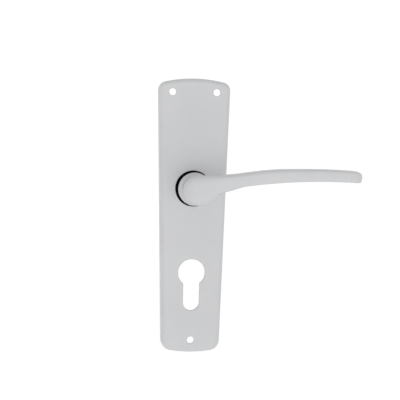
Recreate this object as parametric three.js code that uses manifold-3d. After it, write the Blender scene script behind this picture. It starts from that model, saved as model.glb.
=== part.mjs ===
// A sprung lever door handle on a long tapered backplate with a euro-profile cut-out.
//
// Frame: millimetres, +Z up. The origin is where the lever's axis meets the door's surface. The door
// fills +Y, the user stands on the -Y side, the lever's arm points to +X and its spindle to +Y.
// A "rise" is a distance out from the door's surface towards the user, so y = -rise.
import * as THREE from "three";
import { mergeVertices } from "three/addons/utils/BufferGeometryUtils.js";
import Module from "manifold-3d";

const wasm = await Module();
wasm.setup();

// ---------------------------------------------------------------- driving dimensions

// Backplate: a hollow casting, wider at the top than at the bottom.
const PLATE_TOP = 71.3; // lever axis to the top edge
const PLATE_BOTTOM = 107.3; // lever axis to the bottom edge
const PLATE_HALF_WIDTH = 21.7; // at the lever axis
const PLATE_TAPER = 0.026; // half-width gained per millimetre of height
const PLATE_CORNER_TOP = 5.5; // corner radii in elevation
const PLATE_CORNER_BOTTOM = 7;
const PLATE_END_BOW = 85; // radius of the bowed top and bottom edges
const PLATE_WALL = 2.4; // front wall and side walls
const PLATE_EDGE = 3; // rounding of the front edge

// Fixing screw holes, each in a boss that reaches the door.
const SCREW_SPREAD = 28.8; // between the two top holes
const SCREW_TOP_INSET = 8.9; // top edge to the top holes
const SCREW_BOTTOM_INSET = 8.1; // bottom edge to the bottom hole
const SCREW_HOLE_R = 2.25;
const SCREW_EDGE = 0.3; // chamfer at the hole's mouth
const SCREW_SEAT = 1.4; // wall left round the hole; behind it the boss is hollow
const SCREW_BORE_R = 4.2;
const SCREW_BOSS_WALL = 1.8;

// Euro-profile cut-out, below the lever.
const LOCK_CENTRES = 55; // lever axis to the cylinder's axis
const EURO_R = 8.8; // round part
const EURO_SLOT = 10.6; // width of the tail
const EURO_HEIGHT = 33.6; // top of the round part to the bottom of the tail
const EURO_RIM_SET_BACK = 1.2; // the rim behind the cut-out stands back from its edge
const EURO_RIM_WALL = 1.8;

const RIB = 1.6; // thickness of the cross ribs behind the front wall
const RIB_RISE = 3.2; // the ribs stop short of the door

// Lever neck, and what turns or sits on it. Thicknesses are along the neck.
const NECK_R = 9.6;
const NECK_END = 0.05; // the neck stops just short of the door's surface
const RUNNING_GAP = 0.12; // radial clearance of the neck in the bush and the washers
const SEAT_GAP = 0.05; // clearance between stacked pieces
const BUSH_WALL = 1.85;
const BUSH_RECESS = 0.7; // the bush's front lies below the plate's face
const BUSH_FLANGE = 0.8;
const BUSH_SPLIT = 5; // width of the slit that lets the bush snap in
const THRUST_WASHER = 0.4;
const DRIVER = 1; // the stamped driver
const FLAT_DEPTH = 1.1; // of the two flats on the neck that key the driver
const SUPPORT_WASHER = 0.4;
const SUPPORT_WASHER_INSET = 0.8; // its rim lies inside the driver's
const RING = 0.9; // the retaining ring
const RING_LAND = 0.7; // neck left behind the ring's groove
const RING_GROOVE_DEPTH = 0.6;
const RING_RADIAL = 3; // radial width of the retaining ring opposite its gap
const RING_LIFT = 0.75; // the ring's outside is set off its bore by this, away from the gap
const RING_LUG_R = 2.15;
const RING_LUG_DEG = 68; // the lugs lie this far below the horizontal
const RING_LUG_CUT = 1.3; // lug's centre to the ring's gap
const RING_HOLE_R = 0.75; // plier holes

// Return spring: round wire, coiled from its fixed leg in front to its driven leg behind.
const WIRE = 1.2;
const COIL_GAP = 0.85; // neck to the inside of the coil
const COIL_PITCH = 1.33;
const FIXED_LEG_DEG = 140;
const DRIVEN_LEG_DEG = 40;
const COIL_TURNS = 1; // whole turns, besides the part turn between the legs
const COIL_PLAY = 0.1; // the coil to the pieces in front of it and behind it

// The lever's travel is set by an ear on the driver between two cast stops.
const TRAVEL_DEG = 45;
const EAR_DEG = 250;
const EAR_HALF_DEG = 7;
const STOP_GAP_DEG = 1.2;
const STOP_WIDTH_DEG = 9;
const STOP_GAP = 0.7; // driver's rim to the stops, and the ear's end to the stops' outer face
const SIDE_ROOM = 0.6; // stops to the plate's side wall
const DRIVER_SHARE = 0.4; // the driver's rim lies this far from the coil's outside to the ear's end

// Lever: collar, neck, head and arm. Reaches are measured from the plate's face.
const COLLAR_LIP = 1.05; // the collar stands out from the neck
const COLLAR_REACH = 9.8; // where it is fullest
const COLLAR_FOOT = 1.03; // it is slimmer by this where it meets the bush
const COLLAR_FLANK = 0.65; // and by this halfway up
const COLLAR_FALL = 0.5; // and by this a third of its reach past its crest
const COLLAR_PLAY = 0.3; // end play between the collar's shoulder and the bush
const WAIST_DEPTH = 1; // the waist is slimmer than the neck
const WAIST_REACH = 19;
const WAIST_FLARE = 0.45; // the waist is fuller by this four fifths of the way to its slimmest
const HEAD_DEPTH = 0.2; // the head is slimmer than the neck
const HEAD_REACH = 31; // where the head is widest
const HEAD_BLEND = 0.35; // the turned part is slimmer than the head by this where it enters it
const FACE_REACH = 36; // the flat front of the head and arm
const ARM_LENGTH = 105.5; // lever axis to the tip
const ARM_DEPTH = 13.4; // front to back
const ARM_CREST = 10.55; // height of the arm's centre line at its highest point
const ARM_CREST_AT = 78; // distance of that point from the lever axis
const ARM_BOW = 350; // radius of the arm's centre line in elevation
const ARM_SHOULDER = 0.4; // the upper edge is a little fuller here
const ARM_SHOULDER_AT = 47;
const ARM_SHOULDER_SPREAD = 14;
const ARM_HEIGHT_ROOT = 9.3;
const ARM_HEIGHT_TIP = 7.6;
const ARM_RETURN = 4.6; // the tip comes back towards the door by this much
const ARM_RETURN_FROM = 58; // where the return begins
const TOP_JOIN = 25; // the upper line joins the arm's own line here
const TOP_LEAD = 9.6; // from its handle to there
const TOP_SWELL = 0.35; // its handle stands above the arm's own line
const HEAD_WRAP_DEG = 1; // the lower line follows the head this far past its lowest point
const THROAT_DEPTH = 9.24; // the handle below the throat lies this far below the lever's axis
const THROAT_LEAD = 0.24; // and this far inside the head's right side
const THROAT_HEIGHT = 2.07; // the next handle, in the throat, lies this far below the lever's axis
const THROAT_SET = 0.98; // and this far from the head's right side
const THROAT_END = 13.44; // the throat's hollow ends here
const THROAT_END_DROP = 1.6; // this far below the lever's axis
const UNDERSIDE_LEAD = 6.97; // from there to the underside's first handle
const BOTTOM_JOIN = 30.4; // the lower line joins the arm's own line here
const TIP_RAISED = 0.8; // the furthest point lies above the arm's centre line
const TIP_ROUND_ABOVE = 6.5; // length over which the tip rounds off
const TIP_ROUND_BELOW = 2.6;
const TIP_POWER = 2.2; // of the tip's rounding
const SECTION_POWER = 4.2; // 2 is an ellipse, more is squarer
const DRUM_POWER = 0.2; // of the rounding left of the axis

// Spindle and its grub screw.
const SPINDLE = 8; // square bar
const SPINDLE_OUT = 60; // stands past the door's surface
const SPINDLE_CHAMFER = 0.8;
const SOCKET_GAP = 0.1; // spindle to socket, each side
const SOCKET_END_REACH = 22; // end of the socket, past the plate's face
const GRUB_R = 2.4;
const GRUB_GAP = 0.1;
const GRUB_REACH = 17.5;
const GRUB_HEX = 2.5; // across flats
const GRUB_SINK = 0.35; // outer end below the neck's surface

// ---------------------------------------------------------------- values that follow

const SIDES = 56; // facets of a full circle on the turned pieces
const THROUGH = 1; // a cutting tool runs this far past the face it cuts

// The stack on the neck, from the door outwards, sets the plate's depth.
const ringBack = NECK_END + RING_LAND + SEAT_GAP;
const ringFront = ringBack + RING;
const supportBack = ringFront + SEAT_GAP;
const supportFront = supportBack + SUPPORT_WASHER;
const driverBack = supportFront + SEAT_GAP;
const driverFront = driverBack + DRIVER;
const coilSweepDeg = 360 * COIL_TURNS + FIXED_LEG_DEG - DRIVEN_LEG_DEG;
const coilBack = driverFront + COIL_PLAY + WIRE / 2;
const coilFront = coilBack + (COIL_PITCH * coilSweepDeg) / 360;
const washerBack = coilFront + WIRE / 2 + COIL_PLAY;
const washerFront = washerBack + THRUST_WASHER;
const flangeBack = washerFront + SEAT_GAP;
const flangeFront = flangeBack + BUSH_FLANGE;
const wallBack = flangeFront + SEAT_GAP;
const plateFace = wallBack + PLATE_WALL;
const bushFront = plateFace - BUSH_RECESS;
const collarBack = bushFront + COLLAR_PLAY;
const socketEnd = plateFace + SOCKET_END_REACH;
const grubRise = plateFace + GRUB_REACH;

// Radii about the lever's axis.
const bushBore = NECK_R + RUNNING_GAP;
const bushR = bushBore + BUSH_WALL;
const leverHoleR = bushR + RUNNING_GAP;
const coilR = NECK_R + COIL_GAP + WIRE / 2;
const coilOuterR = coilR + WIRE / 2;
const stopOuterR = (PLATE_HALF_WIDTH - PLATE_WALL - SIDE_ROOM) / (1 + PLATE_TAPER);
const earR = stopOuterR - STOP_GAP;
const driverR = THREE.MathUtils.lerp(coilOuterR, earR, DRIVER_SHARE);
const stopInnerR = driverR + STOP_GAP;
const legR = (driverR + earR) / 2; // the spring's legs end here
// The angle from a spring leg's centre line to the piece that it bears on.
const legAsideDeg = THREE.MathUtils.radToDeg((WIRE / 2 + SEAT_GAP) / legR) + STOP_GAP_DEG;
const grooveR = NECK_R - RING_GROOVE_DEPTH;
const flatHalf = NECK_R - FLAT_DEPTH;
const collarR = NECK_R + COLLAR_LIP;
const waistR = NECK_R - WAIST_DEPTH;
const headR = NECK_R - HEAD_DEPTH;

const lockZ = -LOCK_CENTRES;
const euroBottomZ = lockZ + EURO_R - EURO_HEIGHT;

const radians = THREE.MathUtils.degToRad;

// ---------------------------------------------------------------- solid helpers

// The closed solid of a geometry.
function solid(geometry) {
  const bare = geometry.clone();
  for (const name of Object.keys(bare.attributes)) {
    if (name !== "position") bare.deleteAttribute(name);
  }
  const merged = mergeVertices(bare, 1e-4);
  return new wasm.Manifold(
    new wasm.Mesh({
      numProp: 3,
      vertProperties: Float32Array.from(merged.attributes.position.array),
      triVerts: Uint32Array.from(merged.index.array),
    }),
  );
}

// A named mesh from a solid and its material.
function meshOf(name, made, material) {
  const cut = made.getMesh();
  const geometry = new THREE.BufferGeometry();
  geometry.setAttribute("position", new THREE.BufferAttribute(cut.vertProperties, 3));
  geometry.setIndex(new THREE.BufferAttribute(cut.triVerts, 1));
  geometry.computeVertexNormals();
  const mesh = new THREE.Mesh(geometry, material);
  mesh.name = name;
  return mesh;
}

// An outline drawn in elevation (x, z), given thickness from one rise to a higher one.
function slab(outline, lowRise, highRise, curveSegments = 16) {
  const depth = highRise - lowRise;
  const geometry = new THREE.ExtrudeGeometry(outline, { depth, curveSegments, bevelEnabled: false });
  geometry.rotateX(Math.PI / 2);
  geometry.translate(0, -lowRise, 0);
  return solid(geometry);
}

// A profile of (radius, rise) points, in order of growing rise, turned about the lever's axis.
function turned(profile, sides = SIDES) {
  const points = profile.map(([r, rise]) => new THREE.Vector2(r, rise));
  const geometry = new THREE.LatheGeometry(points, sides);
  geometry.rotateX(Math.PI);
  return solid(geometry);
}

// A flat ring with a round bore.
function ring(boreR, outerR, lowRise, highRise) {
  return turned([
    [boreR, lowRise],
    [outerR, lowRise],
    [outerR, highRise],
    [boreR, highRise],
    [boreR, lowRise],
  ]);
}

// A round bar or hole along the door's normal.
function round(r, x, z, lowRise, highRise, sides = 32) {
  return turned([[0, lowRise], [r, lowRise], [r, highRise], [0, highRise]], sides).translate([x, 0, z]);
}

// A box between two corners given as (x, rise, z).
function block(low, high) {
  const size = low.map((value, i) => high[i] - value);
  const geometry = new THREE.BoxGeometry(...size);
  geometry.translate(low[0] + size[0] / 2, -(low[1] + size[1] / 2), low[2] + size[2] / 2);
  return solid(geometry);
}

// A sector of a ring about the lever's axis: angles in degrees from +X towards +Z.
function sector(innerR, outerR, fromDeg, toDeg, lowRise, highRise) {
  const outline = new THREE.Shape();
  outline.absarc(0, 0, outerR, radians(fromDeg), radians(toDeg), false);
  outline.absarc(0, 0, innerR, radians(toDeg), radians(fromDeg), true);
  outline.closePath();
  return slab(outline, lowRise, highRise, 6);
}

// ---------------------------------------------------------------- backplate

const halfWidthAt = (z) => PLATE_HALF_WIDTH + PLATE_TAPER * z;

// The plate's outline in elevation, moved in by an inset: two straight tapered sides, rounded corners
// and bowed ends.
function plateOutline(inset) {
  const bow = PLATE_END_BOW - inset;
  const outline = new THREE.Shape();
  const end = (apexZ, up, corner) => {
    // The corner circle touches the side line and the bowed end, so its centre follows from both.
    const bowZ = apexZ - up * bow;
    let x = halfWidthAt(apexZ) - inset - corner;
    let z = apexZ - up * corner;
    for (let i = 0; i < 8; i++) {
      z = bowZ + up * Math.sqrt((bow - corner) ** 2 - x ** 2);
      x = halfWidthAt(z) - inset - corner;
    }
    const towards = Math.atan2(z - bowZ, x);
    return { x, z, bowZ, corner, towards };
  };
  const top = end(PLATE_TOP - inset, 1, PLATE_CORNER_TOP - inset);
  const bottom = end(-PLATE_BOTTOM + inset, -1, PLATE_CORNER_BOTTOM - inset);
  const side = Math.atan(PLATE_TAPER);
  outline.absarc(bottom.x, bottom.z, bottom.corner, bottom.towards, -side, false);
  outline.absarc(top.x, top.z, top.corner, -side, top.towards, false);
  outline.absarc(0, top.bowZ, bow, top.towards, Math.PI - top.towards, false);
  outline.absarc(-top.x, top.z, top.corner, Math.PI - top.towards, Math.PI + side, false);
  outline.absarc(-bottom.x, bottom.z, bottom.corner, Math.PI + side, Math.PI - bottom.towards, false);
  outline.absarc(0, bottom.bowZ, bow, Math.PI - bottom.towards, 2 * Math.PI + bottom.towards, false);
  outline.closePath();
  return outline;
}

// The euro-profile outline, grown by a set-back: a circle with a round-ended tail below it.
function euroOutline(growth) {
  const r = EURO_R + growth;
  const half = EURO_SLOT / 2 + growth;
  const meet = Math.asin(half / r);
  const tailZ = euroBottomZ + EURO_SLOT / 2;
  const outline = new THREE.Shape();
  outline.absarc(0, lockZ, r, -Math.PI / 2 + meet, (3 * Math.PI) / 2 - meet, false);
  outline.absarc(0, tailZ, half, Math.PI, 2 * Math.PI, false);
  outline.closePath();
  return outline;
}

// The outer skin: the outline with a rounded front edge and a flat back on the door.
function plateSkin() {
  const geometry = new THREE.ExtrudeGeometry(plateOutline(0), {
    depth: plateFace,
    curveSegments: 8,
    bevelThickness: PLATE_EDGE,
    bevelSize: PLATE_EDGE,
    bevelOffset: -PLATE_EDGE,
    bevelSegments: 5,
  });
  geometry.rotateX(Math.PI / 2);
  geometry.translate(0, PLATE_EDGE, 0);
  const reach = PLATE_TOP + PLATE_BOTTOM;
  return solid(geometry).subtract(block([-reach, -reach, -reach], [reach, 0, reach]));
}

const screwPlaces = [
  [-SCREW_SPREAD / 2, PLATE_TOP - SCREW_TOP_INSET],
  [SCREW_SPREAD / 2, PLATE_TOP - SCREW_TOP_INSET],
  [0, -PLATE_BOTTOM + SCREW_BOTTOM_INSET],
];

// A rib from one side wall to the other.
function crossRib(z) {
  const half = halfWidthAt(z) - PLATE_WALL / 2;
  return block([-half, RIB_RISE, z - RIB / 2], [half, wallBack + PLATE_WALL / 2, z + RIB / 2]);
}

function makeBackplate() {
  const webRise = wallBack + PLATE_WALL / 2; // bosses and ribs run into the front wall
  let plate = plateSkin().subtract(slab(plateOutline(PLATE_WALL), -THROUGH, wallBack, 8));
  for (const [x, z] of screwPlaces) {
    plate = plate.add(round(SCREW_BORE_R + SCREW_BOSS_WALL, x, z, 0, webRise));
  }
  plate = plate.add(slab(euroOutline(EURO_RIM_SET_BACK + EURO_RIM_WALL), 0, webRise));
  plate = plate.subtract(slab(euroOutline(EURO_RIM_SET_BACK), -THROUGH, wallBack));
  plate = plate.subtract(slab(euroOutline(0), 0, plateFace + THROUGH));
  const ribAbove = stopOuterR + (PLATE_TOP - SCREW_TOP_INSET - stopOuterR) / 2;
  plate = plate.add(crossRib(ribAbove));
  plate = plate.add(crossRib((euroBottomZ - PLATE_BOTTOM + SCREW_BOTTOM_INSET) / 2 - EURO_RIM_WALL / 2));
  plate = plate.add(makeStops(webRise));
  for (const [x, z] of screwPlaces) {
    const hole = turned(
      [
        [0, -THROUGH],
        [SCREW_BORE_R, -THROUGH],
        [SCREW_BORE_R, plateFace - SCREW_SEAT],
        [SCREW_HOLE_R, plateFace - SCREW_SEAT],
        [SCREW_HOLE_R, plateFace - SCREW_EDGE],
        [SCREW_HOLE_R + SCREW_EDGE, plateFace],
        [SCREW_HOLE_R + SCREW_EDGE, plateFace + THROUGH],
        [0, plateFace + THROUGH],
      ],
      40,
    );
    plate = plate.subtract(hole.translate([x, 0, z]));
  }
  return plate.subtract(round(leverHoleR, 0, 0, 0, plateFace + THROUGH, SIDES));
}

// Cast blocks behind the front wall: two travel stops for the driver's ear, one anchor for the
// spring's fixed leg.
function makeStops(webRise) {
  const restEdge = EAR_DEG + EAR_HALF_DEG + STOP_GAP_DEG;
  const travelEdge = EAR_DEG - TRAVEL_DEG - EAR_HALF_DEG - STOP_GAP_DEG;
  const low = supportBack; // the retaining ring turns behind the stops
  const rest = sector(stopInnerR, stopOuterR, restEdge, restEdge + STOP_WIDTH_DEG, low, webRise);
  const travel = sector(stopInnerR, stopOuterR, travelEdge - STOP_WIDTH_DEG, travelEdge, low, webRise);
  const anchorEdge = FIXED_LEG_DEG - legAsideDeg;
  const anchorLow = coilFront - WIRE;
  const anchor = sector(stopInnerR, stopOuterR, anchorEdge - STOP_WIDTH_DEG, anchorEdge, anchorLow, webRise);
  return rest.add(travel).add(anchor);
}

// ---------------------------------------------------------------- pieces round the neck

// A black nylon bush with a flange behind the front wall and a slit at the bottom.
function makeBush() {
  const bush = turned([
    [bushBore, flangeBack],
    [driverR, flangeBack],
    [driverR, flangeFront],
    [bushR, flangeFront],
    [bushR, bushFront],
    [bushBore, bushFront],
    [bushBore, flangeBack],
  ]);
  const slit = block(
    [-BUSH_SPLIT / 2, flangeBack - THROUGH, -driverR - THROUGH],
    [BUSH_SPLIT / 2, bushFront + THROUGH, 0],
  );
  return bush.subtract(slit);
}

const makeThrustWasher = () => ring(bushBore, driverR - SEAT_GAP, washerBack, washerFront);

// Wire bent to shape: the fixed leg in from its anchor, the turns clockwise seen from in front and
// backwards towards the door, then the driven leg out to the driver's tab.
function makeSpring() {
  const at = (r, deg, rise) =>
    new THREE.Vector3(r * Math.cos(radians(deg)), -rise, r * Math.sin(radians(deg)));
  const bends = Math.round(coilSweepDeg / 11.5);
  const legDeg = THREE.MathUtils.radToDeg(WIRE / coilR);
  const points = [at(legR, FIXED_LEG_DEG, coilFront), at(coilR + WIRE, FIXED_LEG_DEG, coilFront)];
  for (let i = 0; i <= bends; i++) {
    const share = i / bends;
    const deg = FIXED_LEG_DEG - THREE.MathUtils.lerp(legDeg, coilSweepDeg - legDeg, share);
    points.push(at(coilR, deg, THREE.MathUtils.lerp(coilFront, coilBack, share)));
  }
  points.push(at(coilR + WIRE, DRIVEN_LEG_DEG, coilBack), at(legR, DRIVEN_LEG_DEG, coilBack));
  const section = new THREE.Shape();
  section.absarc(0, 0, WIRE / 2, 0, 2 * Math.PI, false);
  const coil = new THREE.ExtrudeGeometry(section, {
    steps: 2 * points.length,
    curveSegments: 4,
    extrudePath: new THREE.CatmullRomCurve3(points),
  });
  return solid(coil);
}

// A stamped disc keyed on the neck's flats. Its tab is bent forward beside the spring's driven leg,
// and its ear travels between the cast stops.
function makeDriver() {
  const tabDeg = DRIVEN_LEG_DEG + legAsideDeg;
  const tabInnerR = coilOuterR + WIRE / 2; // clear of the leg where it bends out of the coil
  const tabFront = coilBack + WIRE;
  const arm = (outerR, fromDeg, toDeg) => sector(bushR, outerR, fromDeg, toDeg, driverBack, driverFront);
  let driver = round(driverR, 0, 0, driverBack, driverFront, SIDES);
  driver = driver.add(arm(earR, EAR_DEG - EAR_HALF_DEG, EAR_DEG + EAR_HALF_DEG));
  driver = driver.add(arm(legR, tabDeg, tabDeg + STOP_WIDTH_DEG));
  driver = driver.add(
    sector(tabInnerR, legR, tabDeg, tabDeg + STOP_WIDTH_DEG / 2, driverBack, tabFront),
  );
  return driver.subtract(keyedBar(RUNNING_GAP, driverBack - THROUGH, driverFront + THROUGH));
}

// The neck's end as a round bar with two flats, grown by a clearance.
function keyedBar(gap, lowRise, highRise) {
  const bar = round(NECK_R + gap, 0, 0, lowRise, highRise, SIDES);
  const half = flatHalf + gap;
  const reach = NECK_R + gap + THROUGH;
  return bar.intersect(block([-half, lowRise, -reach], [half, highRise, reach]));
}

const makeSupportWasher = () => ring(bushBore, driverR - SUPPORT_WASHER_INSET, supportBack, supportFront);

// An external circlip: thicker opposite its gap, with a lug and a plier hole at each end.
function makeRetainingRing() {
  const bore = grooveR + SEAT_GAP;
  const low = ringBack;
  const high = ringFront;
  const lugX = (bore + RING_LUG_R) * Math.cos(radians(RING_LUG_DEG));
  const lugZ = -(bore + RING_LUG_R) * Math.sin(radians(RING_LUG_DEG));
  let ringSolid = round(bore + RING_RADIAL - RING_LIFT, 0, RING_LIFT, low, high, SIDES);
  for (const x of [-lugX, lugX]) {
    ringSolid = ringSolid.add(round(RING_LUG_R, x, lugZ, low, high, 24));
  }
  ringSolid = ringSolid.subtract(round(bore, 0, 0, low - THROUGH, high + THROUGH, SIDES));
  const gapHalf = lugX - RING_LUG_CUT;
  const reach = bore + RING_RADIAL + 2 * RING_LUG_R;
  ringSolid = ringSolid.subtract(block([-gapHalf, low - THROUGH, -reach], [gapHalf, high + THROUGH, 0]));
  for (const x of [-lugX, lugX]) {
    ringSolid = ringSolid.subtract(round(RING_HOLE_R, x, lugZ, low - THROUGH, high + THROUGH, 16));
  }
  return ringSolid;
}

// ---------------------------------------------------------------- lever

// The height at a distance x from the lever's axis, on a line of points in order of x.
function heightOn(line, x) {
  let i = 0;
  while (i < line.length - 2 && line[i + 1].x < x) i++;
  const share = THREE.MathUtils.clamp((x - line[i].x) / (line[i + 1].x - line[i].x), 0, 1);
  return THREE.MathUtils.lerp(line[i].y, line[i + 1].y, share);
}

// The arm by itself: a bowed bar that tapers towards its tip and is fuller at its shoulder.
const armCentre = (x) => ARM_CREST - (x - ARM_CREST_AT) ** 2 / (2 * ARM_BOW);
const armHalf = (x) => THREE.MathUtils.lerp(ARM_HEIGHT_ROOT, ARM_HEIGHT_TIP, x / ARM_LENGTH) / 2;
const shoulder = (x) => ARM_SHOULDER * Math.exp(-(((x - ARM_SHOULDER_AT) / ARM_SHOULDER_SPREAD) ** 2));
const armTop = (x) => armCentre(x) + armHalf(x) + shoulder(x);
const armBottom = (x) => armCentre(x) - armHalf(x);

// The upper line leaves the top of the head level and meets the arm.
const topLead = TOP_JOIN - TOP_LEAD;
const topLine = new THREE.Path();
topLine.absarc(0, 0, headR, Math.PI, Math.PI / 2, true);
topLine.bezierCurveTo(headR, headR, topLead, armTop(topLead) + TOP_SWELL, TOP_JOIN, armTop(TOP_JOIN));

// The lower line leaves the head's underside and turns out along the arm in a hollow curve.
const throatSlope = (THROAT_HEIGHT - THROAT_END_DROP) / (THROAT_END - headR - THROAT_SET);
const bottomLine = new THREE.Path();
bottomLine.absarc(0, 0, headR, Math.PI, radians(270 + HEAD_WRAP_DEG), false);
bottomLine.bezierCurveTo(
  headR - THROAT_LEAD,
  -THROAT_DEPTH,
  headR + THROAT_SET,
  -THROAT_HEIGHT,
  THROAT_END,
  -THROAT_END_DROP,
);
bottomLine.bezierCurveTo(
  THROAT_END + UNDERSIDE_LEAD,
  throatSlope * UNDERSIDE_LEAD - THROAT_END_DROP,
  TOP_JOIN,
  armBottom(TOP_JOIN),
  BOTTOM_JOIN,
  armBottom(BOTTOM_JOIN),
);
const topPoints = topLine.getPoints(40);
const bottomPoints = bottomLine.getPoints(40);

// How much of its full size the arm keeps at a distance from the tip, along a rounded end.
function rounding(fromTip, length) {
  const share = THREE.MathUtils.clamp(1 - fromTip / length, 0, 1);
  return Math.sqrt(1 - share ** TIP_POWER);
}

// The arm's section at a distance x from the lever's axis.
function sectionAt(x) {
  const fromTip = ARM_LENGTH - x;
  const tipZ = armCentre(ARM_LENGTH) + TIP_RAISED;
  const above = x < TOP_JOIN ? heightOn(topPoints, x) : armTop(x);
  const below = x < BOTTOM_JOIN ? heightOn(bottomPoints, x) : armBottom(x);
  const top = THREE.MathUtils.lerp(tipZ, above, rounding(fromTip, TIP_ROUND_ABOVE));
  const bottom = THREE.MathUtils.lerp(tipZ, below, rounding(fromTip, TIP_ROUND_BELOW));
  const returned = Math.max(x - ARM_RETURN_FROM, 0) / (ARM_LENGTH - ARM_RETURN_FROM);
  const faceReach = FACE_REACH - ARM_RETURN * returned ** 2;
  return {
    z: (top + bottom) / 2,
    halfHeight: (top - bottom) / 2,
    rise: plateFace + faceReach - ARM_DEPTH / 2,
    halfDepth: (ARM_DEPTH / 2) * rounding(fromTip, TIP_ROUND_ABOVE),
  };
}

// Head and arm in one skin: a bar whose rings are moved to a rounded-square section, strung from the
// head's left side to the tip and closer together at both ends.
function makeArm() {
  const sides = 32;
  const stations = 42;
  const end = 0.02; // the first and last rings are this small, not points
  const geometry = new THREE.CylinderGeometry(1, 1, 1, sides, stations);
  const place = geometry.attributes.position;
  const squarer = (value) => Math.sign(value) * Math.abs(value) ** (2 / SECTION_POWER);
  for (let i = 0; i < place.count; i++) {
    const share = place.getY(i) + 0.5;
    const spread = THREE.MathUtils.lerp(share, (1 - Math.cos(Math.PI * share)) / 2, 0.85);
    const x = THREE.MathUtils.lerp(-headR + end, ARM_LENGTH - end, spread);
    const section = sectionAt(x);
    const angle = Math.atan2(place.getZ(i), place.getX(i));
    const radial = Math.hypot(place.getX(i), place.getZ(i));
    // Left of the axis the front rounds off too, so the head is a drum with a soft rim.
    const drum = x < 0 ? (1 - (x / headR) ** 2) ** DRUM_POWER : 1;
    const rise = section.rise + section.halfDepth * drum * squarer(Math.cos(angle)) * radial;
    const z = section.z + section.halfHeight * squarer(Math.sin(angle)) * radial;
    place.setXYZ(i, x, -rise, z);
  }
  return solid(geometry);
}

// The turned part of the lever: end, ring groove, journal, collar bead, waist and head.
function makeNeck() {
  const inHead = HEAD_REACH - 1; // the turned part ends inside the head
  const profile = [
    [0, NECK_END],
    [NECK_R, NECK_END],
    [NECK_R, ringBack - SEAT_GAP],
    [grooveR, ringBack - SEAT_GAP],
    [grooveR, supportBack],
    [NECK_R, supportBack],
    [NECK_R, collarBack],
  ];
  const outline = new THREE.SplineCurve(
    [
      [collarR - COLLAR_FOOT, collarBack],
      [collarR - COLLAR_FLANK, plateFace + COLLAR_REACH / 2],
      [collarR, plateFace + COLLAR_REACH],
      [collarR - COLLAR_FALL, plateFace + 1.35 * COLLAR_REACH],
      [waistR + WAIST_FLARE, plateFace + 0.8 * WAIST_REACH],
      [waistR, plateFace + WAIST_REACH],
      [waistR, plateFace + 0.55 * (WAIST_REACH + HEAD_REACH)],
      [headR - HEAD_BLEND, plateFace + inHead],
    ].map(([r, rise]) => new THREE.Vector2(r, rise)),
  );
  for (const { x, y } of outline.getPoints(20)) profile.push([x, y]);
  profile.push([0, plateFace + inHead]);
  return turned(profile);
}

function makeLever() {
  const socket = SPINDLE / 2 + SOCKET_GAP;
  const reach = NECK_R + THROUGH;
  let lever = makeNeck().add(makeArm());
  lever = lever.subtract(block([-socket, -THROUGH, -socket], [socket, socketEnd, socket]));
  lever = lever.subtract(block([-reach, -THROUGH, -reach], [-flatHalf, driverFront + SEAT_GAP, reach]));
  lever = lever.subtract(block([flatHalf, -THROUGH, -reach], [reach, driverFront + SEAT_GAP, reach]));
  return lever.subtract(crossBar(GRUB_R + GRUB_GAP, 0, -collarR - THROUGH));
}

// ---------------------------------------------------------------- spindle and grub screw

// A round bar across the neck at the grub screw's place, between two heights.
function crossBar(r, fromZ, toZ) {
  const bar = new THREE.CylinderGeometry(r, r, fromZ - toZ, 24);
  bar.rotateX(Math.PI / 2);
  bar.translate(0, -grubRise, (fromZ + toZ) / 2);
  return solid(bar);
}

function makeSpindle() {
  const half = SPINDLE / 2 - SPINDLE_CHAMFER;
  const outline = new THREE.Shape();
  outline.moveTo(-half, -half);
  outline.lineTo(half, -half);
  outline.lineTo(half, half);
  outline.lineTo(-half, half);
  outline.closePath();
  const length = SPINDLE_OUT + socketEnd - SOCKET_GAP;
  const bar = new THREE.ExtrudeGeometry(outline, {
    depth: length - 2 * SPINDLE_CHAMFER,
    bevelThickness: SPINDLE_CHAMFER,
    bevelSize: SPINDLE_CHAMFER,
    bevelSegments: 1,
  });
  bar.rotateX(Math.PI / 2);
  bar.translate(0, SPINDLE_OUT - SPINDLE_CHAMFER, 0);
  return solid(bar);
}

function makeGrubScrew() {
  const inner = -SPINDLE / 2 - SOCKET_GAP;
  const outer = -waistR + GRUB_SINK;
  const hexDepth = (inner - outer) / 2;
  const hex = new THREE.CylinderGeometry(GRUB_HEX / Math.sqrt(3), GRUB_HEX / Math.sqrt(3), 2 * hexDepth, 6);
  hex.rotateX(Math.PI / 2);
  hex.translate(0, -grubRise, outer);
  return crossBar(GRUB_R, inner, outer).subtract(solid(hex));
}

// ---------------------------------------------------------------- assembly

const finish = (color, roughness, metalness) =>
  new THREE.MeshStandardMaterial({ color, roughness, metalness });
const group = new THREE.Group();
const fixed = new THREE.Group();
const turning = new THREE.Group();
fixed.add(
  meshOf("backplate", makeBackplate(), finish(0xcbcccd, 0.45, 0.1)),
  meshOf("neck_bush", makeBush(), finish(0x0b0b0c, 0.55, 0)),
  meshOf("thrust_washer", makeThrustWasher(), finish(0xb3a56f, 0.35, 0.9)),
  meshOf("return_spring", makeSpring(), finish(0x8d9093, 0.3, 1)),
);
turning.add(
  meshOf("lever", makeLever(), finish(0xcdcfd1, 0.42, 0.1)),
  meshOf("spring_driver", makeDriver(), finish(0xaab0b5, 0.35, 0.9)),
  meshOf("support_washer", makeSupportWasher(), finish(0xb6babd, 0.35, 0.9)),
  meshOf("retaining_ring", makeRetainingRing(), finish(0x35383b, 0.4, 0.8)),
  meshOf("spindle", makeSpindle(), finish(0xa7abae, 0.4, 0.9)),
  meshOf("grub_screw", makeGrubScrew(), finish(0x2a2b2d, 0.4, 0.8)),
);
group.add(fixed, turning);

export default group;
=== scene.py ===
import math

import bmesh
import bpy
from mathutils import Matrix, Vector


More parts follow.
